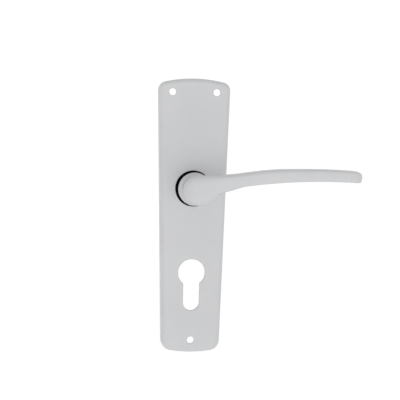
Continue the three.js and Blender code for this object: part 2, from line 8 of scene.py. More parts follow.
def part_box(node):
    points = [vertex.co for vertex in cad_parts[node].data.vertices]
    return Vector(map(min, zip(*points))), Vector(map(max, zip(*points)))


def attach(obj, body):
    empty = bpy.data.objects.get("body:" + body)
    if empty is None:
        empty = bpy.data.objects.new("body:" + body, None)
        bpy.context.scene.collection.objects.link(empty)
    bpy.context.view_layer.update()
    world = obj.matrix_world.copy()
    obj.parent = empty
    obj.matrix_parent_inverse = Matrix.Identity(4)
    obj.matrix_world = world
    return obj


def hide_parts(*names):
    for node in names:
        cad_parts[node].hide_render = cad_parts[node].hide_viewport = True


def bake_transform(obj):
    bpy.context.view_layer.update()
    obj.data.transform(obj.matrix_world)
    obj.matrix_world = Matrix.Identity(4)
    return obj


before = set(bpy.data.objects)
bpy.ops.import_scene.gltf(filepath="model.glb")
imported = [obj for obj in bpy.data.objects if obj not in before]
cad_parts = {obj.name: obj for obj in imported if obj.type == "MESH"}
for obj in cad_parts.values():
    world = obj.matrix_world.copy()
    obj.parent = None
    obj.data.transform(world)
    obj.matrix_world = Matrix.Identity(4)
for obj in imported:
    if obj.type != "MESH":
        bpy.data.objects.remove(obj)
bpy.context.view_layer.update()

# ---------------------------------------------------------------- backplate
# A hollow light-alloy casting, open towards the door, satin lacquered outside and as cast inside,
# with screw bosses, a rim behind the cut-out, two ribs, and three blocks for the lever and its spring.
# Lengths are in millimetres, and a rise is measured off the door's surface.


def extent(node):
    """A CAD node's reach in millimetres: left, right, lowest and highest rise, bottom, top."""
    low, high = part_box(node)
    return [1000 * v for v in (low.x, high.x, -high.y, -low.y, low.z, high.z)]


def piece_from(name, points, faces, material, tidy=True):
    """A mesh object in the frame's metres from points given as (x, rise, z) in millimetres."""
    mesh = bpy.data.meshes.new(name)
    mesh.from_pydata([(x / 1000, -rise / 1000, z / 1000) for x, rise, z in points], [], faces)
    if tidy:
        work = bmesh.new()
        work.from_mesh(mesh)
        bmesh.ops.remove_doubles(work, verts=work.verts, dist=1e-7)
        bmesh.ops.recalc_face_normals(work, faces=work.faces)
        work.to_mesh(mesh)
        work.free()
    mesh.materials.append(material)
    made = bpy.data.objects.new(name, mesh)
    bpy.context.scene.collection.objects.link(made)
    return made


def lofted(name, outline, profile, material):
    """A closed solid strung through one outline: each (growth, rise) of the profile is a loop."""
    loops = [[(x, rise, z) for x, z in outline(growth)] for growth, rise in profile]
    count = len(loops[0])
    points = [p for loop in loops for p in loop]
    faces = [tuple(range(count - 1, -1, -1)), tuple(range(len(points) - count, len(points)))]
    for k in range(0, len(points) - count, count):
        for i in range(count):
            j = (i + 1) % count
            faces.append((k + i, k + j, k + count + j, k + count + i))
    return piece_from(name, points, faces, material, tidy=False)


def evaluated(made):
    """The object with its modifiers worked out and then removed."""
    bpy.context.view_layer.update()
    shaped = made.evaluated_get(bpy.context.evaluated_depsgraph_get())
    mesh = bpy.data.meshes.new_from_object(shaped)
    made.modifiers.clear()
    made.data = mesh
    return made


def worked(base, operation, *tools):
    """The base joined to or cut by tools, which are used up."""
    for tool in tools:
        step = base.modifiers.new("work", "BOOLEAN")
        step.operation = operation
        step.solver = "MANIFOLD"
        step.material_mode = "TRANSFER"
        step.object = tool
        evaluated(base)
        bpy.data.objects.remove(tool)
    return base


def smoothed(made, sharp_degrees=32):
    """Smooth shading that keeps flats flat and corners crisp."""
    made.data.shade_smooth()
    made.data.set_sharp_from_angle(angle=math.radians(sharp_degrees))
    step = made.modifiers.new("normals", "WEIGHTED_NORMAL")
    step.keep_sharp = True
    step.weight = 60
    return evaluated(made)


def quarter(radius, growth, rise, start=0, stop=90, steps=8):
    """(growth, rise) pairs round a circle about (growth, rise), from one angle to another."""
    turn = [math.radians(start + (stop - start) * i / steps) for i in range(steps + 1)]
    return [(growth + radius * math.cos(t), rise + radius * math.sin(t)) for t in turn]


def circle(radius, x=0, z=0, sides=96):
    """An outline that grows: a circle."""
    def outline(growth):
        turn = [2 * math.pi * i / sides for i in range(sides)]
        return [(x + (radius + growth) * math.cos(t), z + (radius + growth) * math.sin(t)) for t in turn]
    return outline


class Rule:
    """A value that a node tree works out: arithmetic on it adds the nodes."""

    def __init__(self, tree, socket):
        self.tree = tree
        self.socket = socket

    def fed(self, kind, values, **settings):
        node = self.tree.nodes.new(kind)
        for key, value in settings.items():
            setattr(node, key, value)
        for key, value in values.items():
            if isinstance(value, Rule):
                self.tree.links.new(value.socket, node.inputs[key])
            else:
                node.inputs[key].default_value = value
        return Rule(self.tree, node.outputs[0])

    def math(self, operation, *values):
        return self.fed("ShaderNodeMath", dict(enumerate(values)), operation=operation)

    def __add__(self, other):
        return self.math("ADD", self, other)

    def __sub__(self, other):
        return self.math("SUBTRACT", self, other)

    def __rsub__(self, other):
        return self.math("SUBTRACT", other, self)

    def __mul__(self, other):
        return self.math("MULTIPLY", self, other)

    def __truediv__(self, other):
        return self.math("DIVIDE", self, other)

    def __pow__(self, other):
        return self.math("POWER", self, other)

    def above(self, other):
        return self.math("GREATER_THAN", self, other)

    def below(self, other):
        return self.math("LESS_THAN", self, other)

    def kept(self, low, high):
        return self.math("MINIMUM", self.math("MAXIMUM", self, low), high)

    def mixed(self, start, stop):
        """start where this is 0, stop where it is 1."""
        return self * (stop - start) + start

    __rmul__ = __mul__


def finish(name, colour, roughness, metallic=0.0, specular=0.5):
    """A material whose shader has these even values."""
    material = bpy.data.materials.new(name)
    material.use_nodes = True
    shader = material.node_tree.nodes["Principled BSDF"]
    shader.inputs["Base Color"].default_value = (*colour, 1)
    shader.inputs["Roughness"].default_value = roughness
    shader.inputs["Metallic"].default_value = metallic
    shader.inputs["Specular IOR Level"].default_value = specular
    return material


def grain(material, size, detail=2.0, stretch=(1, 1, 1), distortion=0.0):
    """Noise from 0 to 1 on the piece's own coordinates; size is its feature size in millimetres."""
    tree = material.node_tree
    place = Rule(tree, tree.nodes.new("ShaderNodeTexCoord").outputs["Object"])
    scaled = place.fed("ShaderNodeMapping", {"Vector": place, "Scale": [1000 / size / s for s in stretch]})
    values = {"Vector": scaled, "Scale": 1.0, "Detail": detail, "Roughness": 0.55, "Distortion": distortion}
    return place.fed("ShaderNodeTexNoise", values)


def tinted(material, pattern, *stops):
    """Colour by a pattern: stops are (position, (red, green, blue))."""
    ramp = pattern.fed("ShaderNodeValToRGB", {"Fac": pattern})
    band = ramp.socket.node.color_ramp
    while len(band.elements) < len(stops):
        band.elements.new(0.5)
    for element, (position, colour) in zip(band.elements, stops):
        element.position = position
        element.color = (*colour, 1)
    shader = material.node_tree.nodes["Principled BSDF"]
    material.node_tree.links.new(ramp.socket, shader.inputs["Base Color"])


def roughened(material, pattern, low, high):
    """Roughness by a pattern."""
    shader = material.node_tree.nodes["Principled BSDF"]
    material.node_tree.links.new(pattern.mixed(low, high).socket, shader.inputs["Roughness"])


def raised(material, *patterns):
    """Relief by patterns: each is (pattern, height in millimetres)."""
    tree = material.node_tree
    normal = None
    for pattern, height in patterns:
        values = {"Strength": 1.0, "Distance": height / 1000, "Height": pattern}
        if normal:
            values["Normal"] = normal
        normal = pattern.fed("ShaderNodeBump", values)
    tree.links.new(normal.socket, tree.nodes["Principled BSDF"].inputs["Normal"])


def lacquered(name, painted_shade=None):
    """Satin grey lacquer with a faint cloud and orange peel, and painted shade where a mask for it is given.
    """
    coat = finish(name, (0.690, 0.694, 0.704), 0.45)
    speck = grain(coat, 0.5, 2)
    tone = grain(coat, 34, 3) * 0.75 + speck * 0.25
    # Painted shade: the mask pulls the tone down to the darkest stop, which nothing else reaches.
    if painted_shade:
        tone = tone * (1 - painted_shade(coat.node_tree))
    tinted(coat, tone, (0.1, (0.340, 0.352, 0.375)), (0.3, (0.667, 0.671, 0.681)),
           (0.5, (0.690, 0.694, 0.704)), (0.72, (0.713, 0.717, 0.727)))
    roughened(coat, grain(coat, 6, 3), 0.42, 0.52)
    raised(coat, (grain(coat, 1.6, 1), 0.008), (grain(coat, 14, 2), 0.03), (speck, 0.0012))
    return coat


lacquer = lacquered("satin_lacquer")

raw_casting = finish("raw_casting", (0.42, 0.43, 0.44), 0.5, 0.85)
flow = grain(raw_casting, 9, 5, stretch=(1, 1, 3), distortion=1.2)
tinted(raw_casting, flow, (0.28, (0.30, 0.31, 0.32)), (0.5, (0.44, 0.45, 0.46)), (0.75, (0.58, 0.59, 0.60)))
roughened(raw_casting, grain(raw_casting, 2.5, 4), 0.42, 0.66)
raised(raw_casting, (grain(raw_casting, 0.45, 3), 0.02), (flow, 0.05))

_, _, door, face, bottom, top = extent("backplate")
taper = 0.026
half_at_axis = 21.7
corner_top, corner_bottom, end_bow = 5.5, 7.0, 85.0
wall, edge_round = 2.4, 3.0
fillet = 0.6
wall_back = face - wall
web = wall_back + wall / 2


def plate_outline(growth):
    """Tapered sides, rounded corners and bowed ends, moved out by growth."""
    loop = []
    side = math.atan(taper)
    bow = end_bow + growth

    def end(apex, up, corner):
        bow_z = apex - up * bow
        x = half_at_axis + taper * apex + growth - corner
        z = apex - up * corner
        for _ in range(8):
            z = bow_z + up * math.sqrt((bow - corner) ** 2 - x * x)
            x = half_at_axis + taper * z + growth - corner
        return x, z, bow_z, corner, math.atan2(z - bow_z, x)

    def arc(x, z, r, start, stop, steps):
        for i in range(steps + 1):
            t = start + (stop - start) * i / steps
            loop.append((x + r * math.cos(t), z + r * math.sin(t)))

    tx, tz, tb, tc, ta = end(top + growth, 1, corner_top + growth)
    bx, bz, bb, bc, ba = end(bottom - growth, -1, corner_bottom + growth)
    arc(bx, bz, bc, ba, -side, 14)
    arc(tx, tz, tc, -side, ta, 14)
    arc(0, tb, bow, ta, math.pi - ta, 30)
    arc(-tx, tz, tc, math.pi - ta, math.pi + side, 14)
    arc(-bx, bz, bc, math.pi + side, math.pi - ba, 14)
    arc(0, bb, bow, math.pi - ba, 2 * math.pi + ba, 30)
    return [p for i, p in enumerate(loop) if math.dist(p, loop[i - 1]) > 1e-4]


def standing(low, chamfer=0.3):
    """The profile of a boss, rib or block on the inside of the front wall, with a filleted root."""
    root = quarter(fillet, fillet, wall_back - fillet, 180, 90, 5)
    return [(-chamfer, low), (0, low + chamfer), *root, (fillet, web)]


def mouth(radius, past=1.0):
    """The end of a cutter that leaves a rounded edge in the plate's face."""
    edge = [(radius - g, r) for g, r in quarter(radius, 0, face - radius, 0, 90, 5)]
    return [*edge, (radius, face + past)]


lock_z, euro_r, slot_half = -55.0, 8.8, 5.3
tail_z = lock_z + euro_r - 33.6 + slot_half


def euro_outline(growth):
    """A circle with a round-ended tail below it."""
    r, half = euro_r + growth, slot_half + growth
    meet = math.asin(half / r)
    turn = [-math.pi / 2 + meet + (2 * math.pi - 2 * meet) * i / 72 for i in range(73)]
    tail = [math.pi + math.pi * i / 36 for i in range(37)]
    return [(r * math.cos(t), lock_z + r * math.sin(t)) for t in turn] + [
        (half * math.cos(t), tail_z + half * math.sin(t)) for t in tail]


def sector_outline(inner, outer, start, stop):
    """A sector of a ring about the lever's axis, between two angles in degrees from +X to +Z."""
    def outline(growth):
        loop = []
        for r, first, last in ((outer + growth, start, stop), (inner - growth, stop, start)):
            spare = math.degrees(growth / r) * (1 if last > first else -1)
            for i in range(13):
                t = math.radians(first - spare + (last - first + 2 * spare) * i / 12)
                loop.append((r * math.cos(t), r * math.sin(t)))
        return loop
    return outline


def rib_outline(z, thickness=1.6):
    """A cross rib from the middle of one side wall to the middle of the other."""
    def outline(growth):
        half = half_at_axis + taper * z - wall / 2
        return [(-half, z - thickness / 2 - growth), (half, z - thickness / 2 - growth),
                (half, z + thickness / 2 + growth), (-half, z + thickness / 2 + growth)]
    return outline


def new_tree(name, **kinds):
    """A Geometry Nodes tree whose named inputs are of these kinds: the tree and its inputs."""
    tree = bpy.data.node_groups.new(name, "GeometryNodeTree")
    tree.interface.new_socket("Geometry", in_out="OUTPUT", socket_type="NodeSocketGeometry")
    tree.interface.new_socket("Geometry", in_out="INPUT", socket_type="NodeSocketGeometry")
    for label, kind in kinds.items():
        tree.interface.new_socket(label, in_out="INPUT", socket_type="NodeSocket" + kind)
    tree.interface.new_socket("Finish", in_out="INPUT", socket_type="NodeSocketMaterial")
    given = tree.nodes.new("NodeGroupInput")
    return tree, {socket.name: Rule(tree, socket) for socket in given.outputs if socket.name}


def closing(tree, inputs, shape):
    """The tree's last nodes: instances are made real and the finish is set."""
    real = shape.fed("GeometryNodeRealizeInstances", {"Geometry": shape})
    done = real.fed("GeometryNodeSetMaterial", {"Geometry": real, "Material": inputs["Finish"]})
    tree.links.new(done.socket, tree.nodes.new("NodeGroupOutput").inputs["Geometry"])


def grown(name, tree, base=None, **values):
    """A plain mesh object made by a tree with these named sizes."""
    made = bpy.data.objects.new(name, base or bpy.data.meshes.new(name))
    step = made.modifiers.new("rule", "NODES")
    step.node_group = tree
    for item in tree.interface.items_tree:
        if item.in_out == "INPUT" and item.name in values:
            step[item.identifier] = values[item.name]
    bpy.context.scene.collection.objects.link(made)
    return evaluated(made)


# The same shape at several places on the plate: screw bosses, screw holes and ejector pads.
places_tree, places_in = new_tree("same_at_each_place", Shape="Object")
shape_info = places_in["Shape"].fed("GeometryNodeObjectInfo", {"Object": places_in["Shape"]})
shape_mesh = Rule(places_tree, shape_info.socket.node.outputs["Geometry"])
put = shape_mesh.fed(
    "GeometryNodeInstanceOnPoints", {"Points": places_in["Geometry"], "Instance": shape_mesh})
closing(places_tree, places_in, put)


def at_each(name, places, shape):
    """One mesh that holds the shape at each (x, z) place; the shape is used up."""
    points = bpy.data.meshes.new(name)
    points.from_pydata([(x / 1000, 0, z / 1000) for x, z in places], [], [])
    made = grown(name, places_tree, points, Shape=shape, Finish=shape.data.materials[0])
    bpy.data.objects.remove(shape)
    return made


screw_places = [(-14.4, top - 8.9), (14.4, top - 8.9), (0, bottom + 8.1)]
pad_places = [(x, z) for z in (49.5, 29, -28.5, -84.5) for x in (-11.5, 11.5)]
boss_r, hole_r, bore_deeper, seat, screw_edge = 6, 2.25, 1.95, 1.4, 0.3
screw_way = [(bore_deeper, -1), (bore_deeper, face - seat), (0, face - seat), *mouth(screw_edge)]
boss_low = door + 0.05
pad_r, pad_chamfer = 2.4, 0.1
pad_profile = [(-pad_chamfer, wall_back - 2 * pad_chamfer), (0, wall_back - pad_chamfer), (0, web)]
rim_inner, rim_outer, rib_low = 1.2, 3.0, 3.2
lever_hole_r, lever_hole_edge, euro_edge = 11.69, 0.25, 0.35
stop_inner, stop_outer, stop_low, anchor_low = 14.70, 18.23, 1.75, 4.4
door_chamfer, pocket_fillet = 0.25, 0.9


def stop_block(name, start, stop, low):
    """A block on the inside of the front wall that the driver's ear or the spring's leg meets."""
    return lofted(name, sector_outline(stop_inner, stop_outer, start, stop), standing(low), raw_casting)


skin = [(-door_chamfer, door), (0, door + door_chamfer)]
skin += quarter(edge_round, -edge_round, face - edge_round, steps=12)
plate = lofted("plate_casting", plate_outline, skin, lacquer)
inside_corner = quarter(pocket_fillet, 0, wall_back - pocket_fillet)
pocket = [(-wall, -1), *[(-wall - pocket_fillet + g, r) for g, r in inside_corner]]
worked(plate, "DIFFERENCE", lofted("pocket", plate_outline, pocket, raw_casting))
boss = lofted("boss", circle(boss_r, sides=72), standing(boss_low), raw_casting)
pad = lofted("pad", circle(pad_r, sides=40), pad_profile, raw_casting)
worked(
    plate, "UNION",
    at_each("bosses", screw_places, boss),
    at_each("pads", pad_places, pad),
    lofted("rim", lambda g: euro_outline(g + rim_outer), standing(boss_low), raw_casting),
    lofted("upper_rib", rib_outline(40.3), standing(rib_low), raw_casting),
    lofted("lower_rib", rib_outline(-90.4), standing(rib_low), raw_casting),
    stop_block("rest_stop", 258.2, 267.2, stop_low),
    stop_block("travel_stop", 187.8, 196.8, stop_low),
    stop_block("spring_anchor", 127.44, 136.44, anchor_low),
)
worked(
    plate, "DIFFERENCE",
    lofted("rim_inside", lambda g: euro_outline(g + rim_inner), [(0, -1), (0, wall_back)], raw_casting),
    lofted("euro_cut", euro_outline, [(0, -1), *mouth(euro_edge)], lacquer),
    lofted("lever_hole", circle(lever_hole_r, sides=144), [(0, -1), *mouth(lever_hole_edge)], lacquer),
    at_each("screw_holes", screw_places, lofted("screw_hole", circle(hole_r, sides=64), screw_way, lacquer)),
)
smoothed(plate)
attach(plate, "plate")
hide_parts("backplate")

# ---------------------------------------------------------------- neck bush
# The bearing in the plate's round hole: black moulded nylon with a flange behind the front wall,
# split at the bottom so that it snaps in. The lever's neck turns in it. Its black is darker and less
# shiny than nylon's own, which is painted shade for the deep gap round the lever's collar.


def turned(name, section, material, sides=144, soft=0.12):
    """A closed (radius, rise) section with its corners rounded, turned about the lever's axis."""
    rounded = []
    for i, corner in enumerate(section):
        for near in (section[i - 1], section[(i + 1) % len(section)]):
            step = min(soft, math.dist(corner, near) / 2.5)
            share = step / math.dist(corner, near)
            rounded.append([c + (n - c) * share for c, n in zip(corner, near)])
        before, after = rounded[-2], rounded[-1]
        rounded.insert(-1, [(b + a + 2 * c) / 4 for b, a, c in zip(before, after, corner)])
    count = len(rounded)
    turn = [2 * math.pi * k / sides for k in range(sides)]
    points = [(r * math.cos(t), rise, r * math.sin(t)) for t in turn for r, rise in rounded]
    faces = []
    for k in range(sides):
        a, b = k * count, (k + 1) % sides * count
        faces += [(a + i, a + (i + 1) % count, b + (i + 1) % count, b + i) for i in range(count)]
    return piece_from(name, points, faces, material)


def block(name, low, high, material):
    """A box between two corners given as (x, rise, z)."""
    outline = lambda growth: [(low[0], low[2]), (high[0], low[2]), (high[0], high[2]), (low[0], high[2])]
    return lofted(name, outline, [(0, low[1]), (0, high[1])], material)


# Nylon black pushed to almost nothing, with weak reflection: painted shade for the gap round the collar.
nylon = finish("moulded_nylon", (0.0015, 0.0015, 0.0017), 0.5, specular=0.05)
fibre = grain(nylon, 1.1, 3)
tinted(nylon, fibre, (0.3, (0.0008, 0.0008, 0.0009)), (0.7, (0.0024, 0.0024, 0.0026)))
roughened(nylon, grain(nylon, 3, 3), 0.4, 0.6)
raised(nylon, (grain(nylon, 0.35, 2), 0.006))

_, flange_r, flange_back, bush_front, _, _ = extent("neck_bush")
bore_r, bush_r, flange_front = 9.72, 11.57, flange_back + 0.8
bush = turned("neck_bush_moulding", [
    (bore_r, flange_back), (flange_r, flange_back), (flange_r, flange_front),
    (bush_r, flange_front), (bush_r, bush_front), (bore_r, bush_front)], nylon, soft=0.2)
slit_half = 2.5
worked(bush, "DIFFERENCE", block("slit", (-slit_half, 0, -20), (slit_half, 20, 0), nylon))
smoothed(bush)
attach(bush, "plate")
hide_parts("neck_bush")

# ---------------------------------------------------------------- thrust washer
# A thin yellow-passivated steel washer between the bush's flange and the spring. A little of it
# glints through the bush's slit.
yellow_zinc = finish("passivated_washer", (0.3, 0.28, 0.2), 0.5, 1.0)
film = grain(yellow_zinc, 5, 3, distortion=0.8)
tinted(yellow_zinc, film, (0.3, (0.33, 0.28, 0.16)), (0.5, (0.30, 0.28, 0.20)), (0.68, (0.25, 0.28, 0.22)))
roughened(yellow_zinc, grain(yellow_zinc, 1.2, 3), 0.42, 0.6)
raised(yellow_zinc, (grain(yellow_zinc, 0.4, 2), 0.004))

_, washer_r, washer_back, washer_front, _, _ = extent("thrust_washer")
washer = turned("thrust_washer_ring", [
    (bore_r, washer_back), (washer_r, washer_back), (washer_r, washer_front), (bore_r, washer_front)],
    yellow_zinc, soft=0.08)
smoothed(washer)
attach(washer, "plate")
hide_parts("thrust_washer")

# ---------------------------------------------------------------- return spring
# Bent from round spring wire: a fixed leg in front that leans on a block of the plate, one and a bit
# turns round the neck, and a driven leg behind that the lever's driver pushes.
spring_steel = finish("spring_wire", (0.33, 0.34, 0.35), 0.3, 1.0)
drawn = grain(spring_steel, 0.5, 3)
tinted(spring_steel, drawn, (0.3, (0.24, 0.25, 0.26)), (0.7, (0.44, 0.45, 0.46)))
roughened(spring_steel, grain(spring_steel, 0.8, 3), 0.24, 0.42)
raised(spring_steel, (drawn, 0.004))

spring_tree, spring = new_tree(
    "wire_round_the_neck", Radius="Float", Reach="Float", Wire="Float", Front="Float", Back="Float",
    Fixed="Float", Sweep="Float", Bends="Int")
line = Rule(spring_tree, spring_tree.nodes.new("GeometryNodeInputIndex").outputs[0])
last = spring["Bends"] + 4
share = ((line - 2) / spring["Bends"]).kept(0, 1)
inner = line.above(1.5) * line.below(last - 1.5)
tip = line.below(0.5) + line.above(last - 0.5)
lead = spring["Wire"] / spring["Radius"]
angle = spring["Fixed"] - (share * spring["Sweep"] + inner * lead * (1 - 2 * share))
legs = (1 - inner) * spring["Wire"]
reach = spring["Radius"] + legs + tip * (spring["Reach"] - spring["Radius"] - spring["Wire"])
height = share.mixed(spring["Front"], spring["Back"])
where = line.fed("ShaderNodeCombineXYZ", {
    0: reach * line.math("COSINE", angle), 1: 0 - height, 2: reach * line.math("SINE", angle)})
wire_points = line.fed("GeometryNodeMeshLine", {"Count": spring["Bends"] + 5})
placed = line.fed("GeometryNodeSetPosition", {"Geometry": wire_points, "Position": where})
path = line.fed("GeometryNodeMeshToCurve", {"Mesh": placed})
curved = line.fed("GeometryNodeCurveSplineType", {"Curve": path}, spline_type="CATMULL_ROM")
fine = line.fed("GeometryNodeSetSplineResolution", {"Geometry": curved, "Resolution": 6})
ring = line.fed("GeometryNodeCurvePrimitiveCircle", {"Resolution": 20, "Radius": spring["Wire"] / 2})
swept = line.fed("GeometryNodeCurveToMesh", {"Curve": fine, "Profile Curve": ring, "Fill Caps": True})
closing(spring_tree, spring, swept)

wire, coil_r, leg_reach = 1.2, 11.05, 15.76
_, _, coil_low, coil_high, _, _ = extent("return_spring")
fixed_leg, coil_sweep = math.radians(140), math.radians(460)
coil = grown(
    "return_spring_wire", spring_tree, Radius=coil_r / 1000, Reach=leg_reach / 1000, Wire=wire / 1000,
    Front=(coil_high - wire / 2) / 1000, Back=(coil_low + wire / 2) / 1000,
    Fixed=fixed_leg, Sweep=coil_sweep, Bends=40, Finish=spring_steel)
smoothed(coil, 50)
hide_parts("return_spring")
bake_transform(coil)

# ---------------------------------------------------------------- lever
# Head, arm and neck are one casting, lacquered like the plate. The arm is strung between an upper and
# a lower line and comes back towards the door at its tip; the neck is turned where it runs in the
# bush and has a groove, two flats and a square socket.
_, arm_length, neck_end, arm_face, _, _ = extent("lever")
arm_length += 0.02  # the CAD's faceted tip stops this much short of the arm's full length
head_r, waist_r, collar_r, neck_r = 9.4, 8.6, 10.65, 9.6
collar_back = bush_front + 0.3


def neck_painted_shade(tree):
    """Painted shade on the neck: darker on the collar's slope, and darker still in the waist behind the head,
    where shade falls.
    """
    place = Rule(tree, tree.nodes.new("ShaderNodeTexCoord").outputs["Object"])
    parts = place.fed("ShaderNodeSeparateXYZ", {"Vector": place}).socket.node.outputs
    x, rise, z = Rule(tree, parts["X"]), 0 - Rule(tree, parts["Y"]), Rule(tree, parts["Z"])
    off_axis = (x * x + z * z) ** 0.5
    waist_from, waist_to, waist_within = 0.0265, 0.0395, 0.0096
    # How deep the painted shade is in the waist and on the collar.
    collar_from, collar_within, waist_shade, collar_shade = 0.010, 0.0112, 0.8, 0.4
    in_waist = ((rise - waist_from) / 0.002).kept(0, 1)
    waist = in_waist * ((waist_to - rise) / 0.0015).kept(0, 1)
    waist = waist * ((waist_within - off_axis) / 0.0004).kept(0, 1)
    collar = (1 - in_waist) * ((rise - collar_from) / 0.002).kept(0, 1)
    collar = collar * ((collar_within - off_axis) / 0.0003).kept(0, 1)
    return waist * waist_shade + collar * collar_shade


# The lever's lacquer carries painted shade on the collar and in the waist behind the head.
handled_lacquer = lacquered("lever_lacquer", neck_painted_shade)


def bezier(a, b, c, d, steps=48):
    """Points of a cubic curve."""
    out = []
    for i in range(1, steps + 1):
        t = i / steps
        s = 1 - t
        weights = (s ** 3, 3 * s * s * t, 3 * s * t * t, t ** 3)
        out.append(tuple(sum(w * p[k] for w, p in zip(weights, (a, b, c, d))) for k in range(2)))
    return out


def height_on(points, x):
    """The height of a line of points at x."""
    for (xa, za), (xb, zb) in zip(points, points[1:]):
        if xa <= x <= xb:
            return za + (zb - za) * (x - xa) / max(xb - xa, 1e-9)
    return points[-1][1]


bow_height, bow_middle, bow_spread = 10.55, 78, 700
root_height, tip_height = 9.3, 7.6
swell, swell_middle, swell_spread = 0.4, 47, 14


def arm_middle(x):
    """The height of the arm's centre line, a long shallow bow."""
    return bow_height - (x - bow_middle) ** 2 / bow_spread


def arm_half(x):
    """Half the arm's height, which tapers to the tip."""
    return (root_height + (tip_height - root_height) * x / arm_length) / 2


def arm_top(x):
    """The arm's upper edge, a little fuller over its first half."""
    return arm_middle(x) + arm_half(x) + swell * math.exp(-(((x - swell_middle) / swell_spread) ** 2))


def arm_bottom(x):
    """The arm's lower edge."""
    return arm_middle(x) - arm_half(x)


def head_arc(start, stop, steps=60):
    """Points round the head's edge between two angles in degrees."""
    turn = [math.radians(start + (stop - start) * i / steps) for i in range(steps + 1)]
    return [(head_r * math.cos(t), head_r * math.sin(t)) for t in turn]


top_join, bottom_join, shoulder_x, shoulder_rise = 25.0, 30.4, 15.4, 0.35
throat_end, throat_drop, throat_height, throat_set = 13.44, 1.6, 2.07, 0.98
throat_depth, throat_lead, underside_lead = 9.24, 0.24, 6.97
throat = (throat_end, -throat_drop)
slope = (throat_height - throat_drop) / (throat_end - head_r - throat_set)
upper = head_arc(180, 90) + bezier(
    (0, head_r), (head_r, head_r), (shoulder_x, arm_top(shoulder_x) + shoulder_rise),
    (top_join, arm_top(top_join)))
lower = head_arc(180, 271)
lower += bezier(
    lower[-1], (head_r - throat_lead, -throat_depth), (head_r + throat_set, -throat_height), throat)
lower += bezier(
    throat, (throat_end + underside_lead, slope * underside_lead - throat_drop),
    (top_join, arm_bottom(top_join)), (bottom_join, arm_bottom(bottom_join)))
tip_power, tip_lift, tip_round_above, tip_round_below = 2.2, 0.8, 6.5, 2.6


def stations(count=260, crowding=0.85):
    """Places along the arm, closer together at both ends."""
    for i in range(count + 1):
        even = i / count
        eased = (1 - math.cos(math.pi * even)) / 2
        yield -head_r + (arm_length + head_r) * (even + (eased - even) * crowding)


def guide(name, edge):
    """A line of points along the arm for the tree to string its sections on."""
    points = []
    for x in stations():
        from_tip = max(arm_length - x, 0)
        tip_z = arm_middle(arm_length) + tip_lift
        if edge == "upper":
            z, round_over = (height_on(upper, x) if x < top_join else arm_top(x)), tip_round_above
        else:
            z, round_over = (height_on(lower, x) if x < bottom_join else arm_bottom(x)), tip_round_below
        short = min(max(1 - from_tip / round_over, 0), 1)
        points.append((x / 1000, 0, (tip_z + (z - tip_z) * math.sqrt(1 - short ** tip_power)) / 1000))
    mesh = bpy.data.meshes.new(name)
    mesh.from_pydata(points, [], [])
    made = bpy.data.objects.new(name, mesh)
    bpy.context.scene.collection.objects.link(made)
    return made


arm_tree, arm = new_tree(
    "sections_between_two_lines", Upper="Object", Lower="Object", Stations="Int", Sides="Int", Length="Float",
    Head="Float", Face="Float", Depth="Float", Return="Float", Return_From="Float", Round="Float",
    Corner_Power="Float")
index = Rule(arm_tree, arm_tree.nodes.new("GeometryNodeInputIndex").outputs[0])
station = index.math("FLOOR", (index + 0.5) / (arm["Sides"] + 1))
column = index - station * (arm["Sides"] + 1)
around = column * column.below(arm["Sides"] - 0.5) / arm["Sides"] * (2 * math.pi)


def on_guide(line_object):
    """The guide's x and height at each station."""
    info = index.fed("GeometryNodeObjectInfo", {"Object": line_object})
    spot = Rule(arm_tree, arm_tree.nodes.new("GeometryNodeInputPosition").outputs[0])
    taken = index.fed(
        "GeometryNodeSampleIndex", {}, data_type="FLOAT_VECTOR", domain="POINT").socket.node
    arm_tree.links.new(info.socket.node.outputs["Geometry"], taken.inputs["Geometry"])
    arm_tree.links.new(spot.socket, taken.inputs["Value"])
    arm_tree.links.new(station.socket, taken.inputs["Index"])
    parts = index.fed("ShaderNodeSeparateXYZ", {0: Rule(arm_tree, taken.outputs[0])}).socket.node
    return Rule(arm_tree, parts.outputs["X"]), Rule(arm_tree, parts.outputs["Z"])


along, upper_z = on_guide(arm["Upper"])
_, lower_z = on_guide(arm["Lower"])
half_height = (upper_z - lower_z) / 2
middle = (upper_z + lower_z) / 2
shortfall = (1 - (arm["Length"] - along) / arm["Round"]).kept(0, 1)
drum_power = 0.2
drum = (1 - ((0 - along / arm["Head"]).kept(0, 1)) ** 2) ** drum_power
half_depth = arm["Depth"] / 2 * (1 - shortfall ** tip_power).kept(0, 1) ** 0.5 * drum
bent = ((along - arm["Return_From"]) / (arm["Length"] - arm["Return_From"])).kept(0, 1)
centre_rise = arm["Face"] - arm["Return"] * bent ** 2 - arm["Depth"] / 2


def squarer(value):
    """A sine or cosine pushed out towards a rounded square."""
    return value.math("SIGN", value) * value.math("ABSOLUTE", value) ** arm["Corner_Power"]


rise = centre_rise + half_depth * squarer(around.math("COSINE", around))
up = middle + half_height * squarer(around.math("SINE", around))
strung = index.fed("ShaderNodeCombineXYZ", {0: along, 1: 0 - rise, 2: up})
net = index.fed("GeometryNodeMeshGrid", {"Vertices X": arm["Stations"], "Vertices Y": arm["Sides"] + 1})
skinned = index.fed("GeometryNodeSetPosition", {"Geometry": net, "Position": strung})
welded = index.fed("GeometryNodeMergeByDistance", {"Geometry": skinned, "Distance": 1e-6})
closing(arm_tree, arm, welded)

upper_guide, lower_guide = guide("upper_guide", "upper"), guide("lower_guide", "lower")
arm_depth, tip_return, return_from, section_power = 13.4, 4.6, 58, 4.2
lever = grown(
    "lever_casting", arm_tree, Upper=upper_guide, Lower=lower_guide, Stations=261, Sides=96,
    Length=arm_length / 1000, Head=head_r / 1000, Face=arm_face / 1000, Depth=arm_depth / 1000,
    Return=tip_return / 1000, Return_From=return_from / 1000, Round=tip_round_above / 1000,
    Corner_Power=2 / section_power, Finish=handled_lacquer)
bpy.data.objects.remove(upper_guide)
bpy.data.objects.remove(lower_guide)


